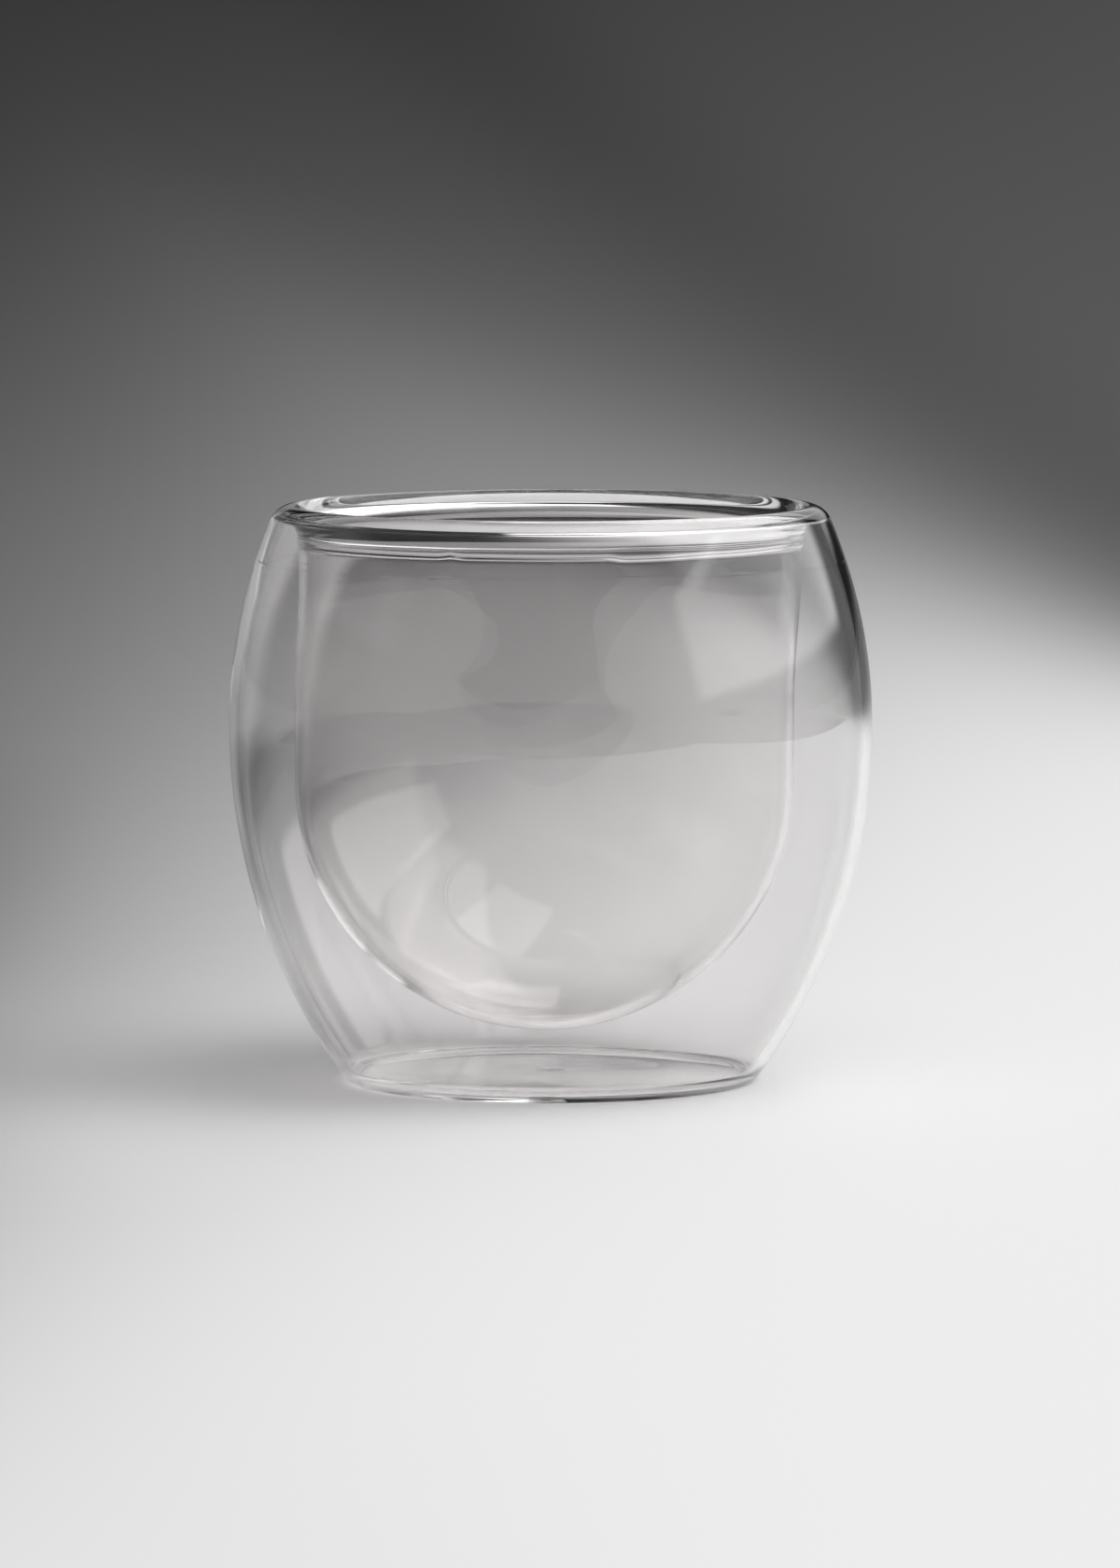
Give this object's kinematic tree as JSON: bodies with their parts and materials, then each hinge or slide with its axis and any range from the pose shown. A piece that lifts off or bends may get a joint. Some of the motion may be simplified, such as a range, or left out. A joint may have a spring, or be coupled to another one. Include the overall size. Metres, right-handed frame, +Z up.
{
  "type": "double wall shot glass",
  "caption": "Small round drinking glass with a clear outer shell and a round-bottomed inner bowl, fused along a rounded lip with sealed air between the walls.",
  "frame": {"origin": "middle of the foot, on the surface that the glass stands on", "axes": "+Z up along the axis of revolution, X and Y across it"},
  "size_m": [0.067, 0.067, 0.06],
  "materials": {
    "outer_wall_glass": "clear blown borosilicate, fire polished",
    "inner_wall_glass": "clear blown borosilicate, fire polished",
    "fused_lip_glass": "clear borosilicate, flame fused and rounded",
    "sealed_tip_glass": "clear borosilicate, flame sealed drop"
  },
  "bodies": {
    "root": {"outer_shell": "outer_wall_glass", "inner_bowl": "inner_wall_glass", "lip_bead": "fused_lip_glass", "vent_tip": "sealed_tip_glass"}
  },
  "joints": []
}
